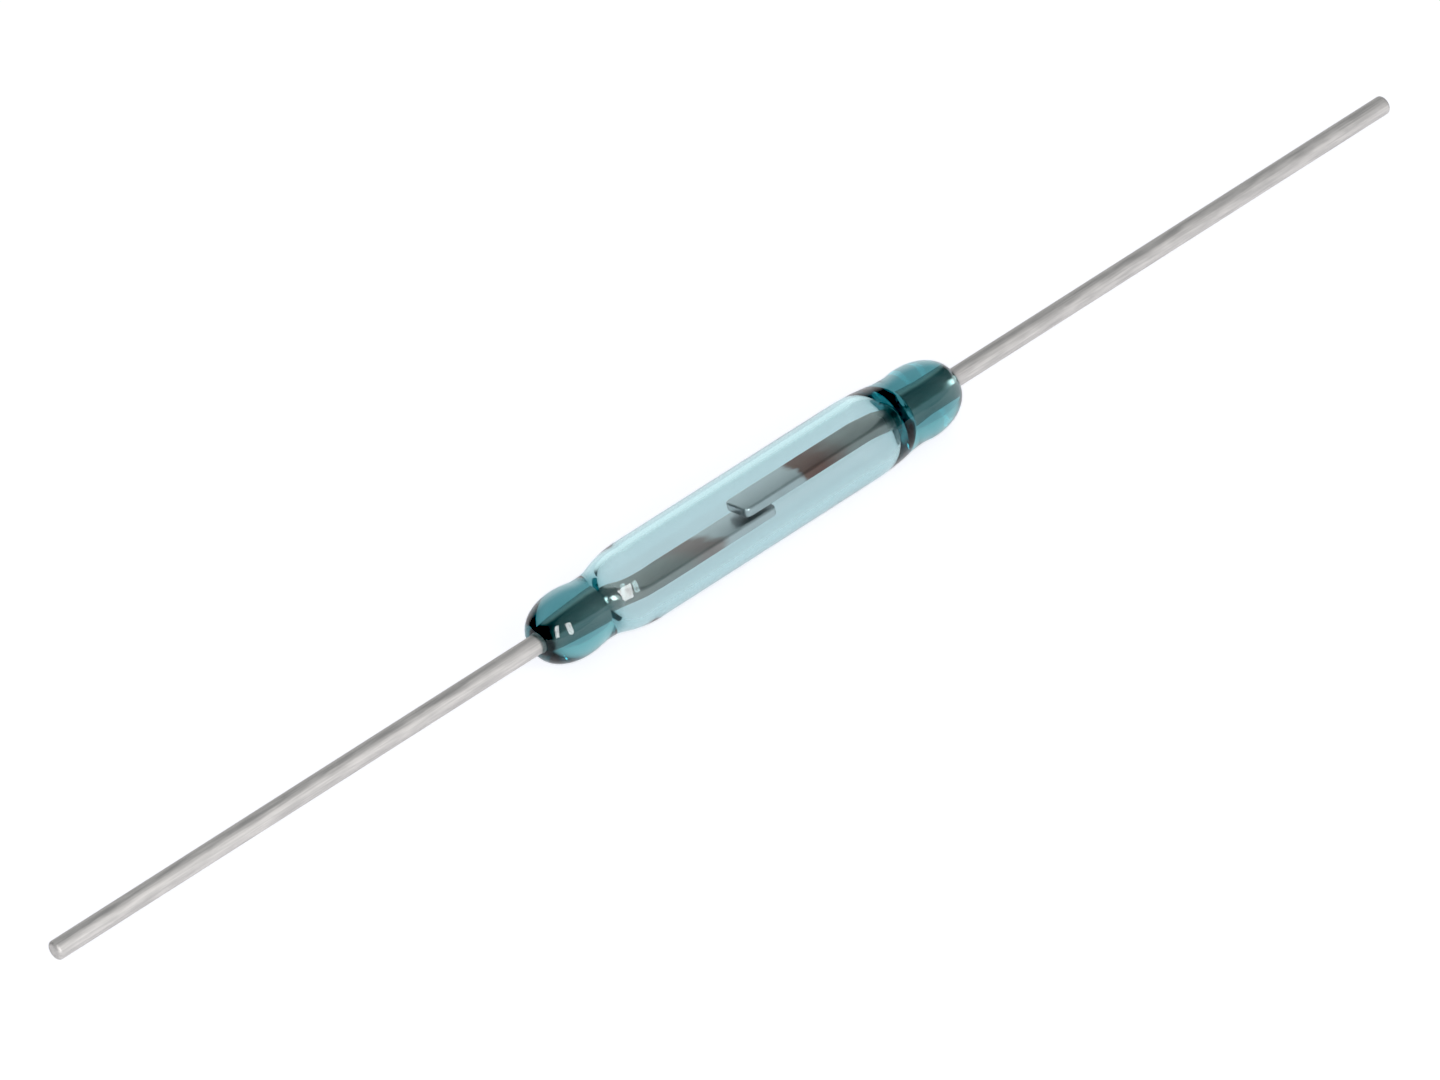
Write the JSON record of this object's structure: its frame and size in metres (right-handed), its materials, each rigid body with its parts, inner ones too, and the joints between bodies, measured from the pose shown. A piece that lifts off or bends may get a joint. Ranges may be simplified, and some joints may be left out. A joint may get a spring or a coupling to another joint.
{
  "type": "glass reed switch",
  "caption": "Slim sealed glass tube on straight axial wire leads, with flat magnetic reed blades inside that overlap across a small gap and close in a magnetic field.",
  "frame": {"origin": "middle of the glass tube, on the axis of the wires", "axes": "+X along the switch to the end of the right lead, +Z the way the left blade moves to close the contacts"},
  "size_m": [0.0444, 0.0022, 0.0022],
  "materials": {
    "tinted_glass": "clear, blue-green tint, flame polished",
    "tinned_wire": "satin tin",
    "reed_blade": "satin nickel-iron, heat-stained behind a plated contact tip"
  },
  "bodies": {
    "envelope": {"glass_envelope": "tinted_glass", "left_lead": "tinned_wire", "right_lead": "tinned_wire"},
    "left_reed": {"left_blade": "reed_blade"},
    "right_reed": {"right_blade": "reed_blade"}
  },
  "joints": [
    {"name": "left_flex", "type": "hinge", "parent": "envelope", "child": "left_reed", "pos_m": [-0.00343, 0, -0.00018], "axis": [0, -1, 0], "range_deg": [0, 0.88], "stiffness_Nm_per_rad": 0.001},
    {"name": "right_flex", "type": "hinge", "parent": "envelope", "child": "right_reed", "pos_m": [0.00367, 0, 0.00018], "axis": [0, -1, 0], "range_deg": [0, 0.88], "stiffness_Nm_per_rad": 0.001}
  ],
  "couplings": [
    {"joint": "right_flex", "follows": "left_flex", "ratio": 1}
  ]
}
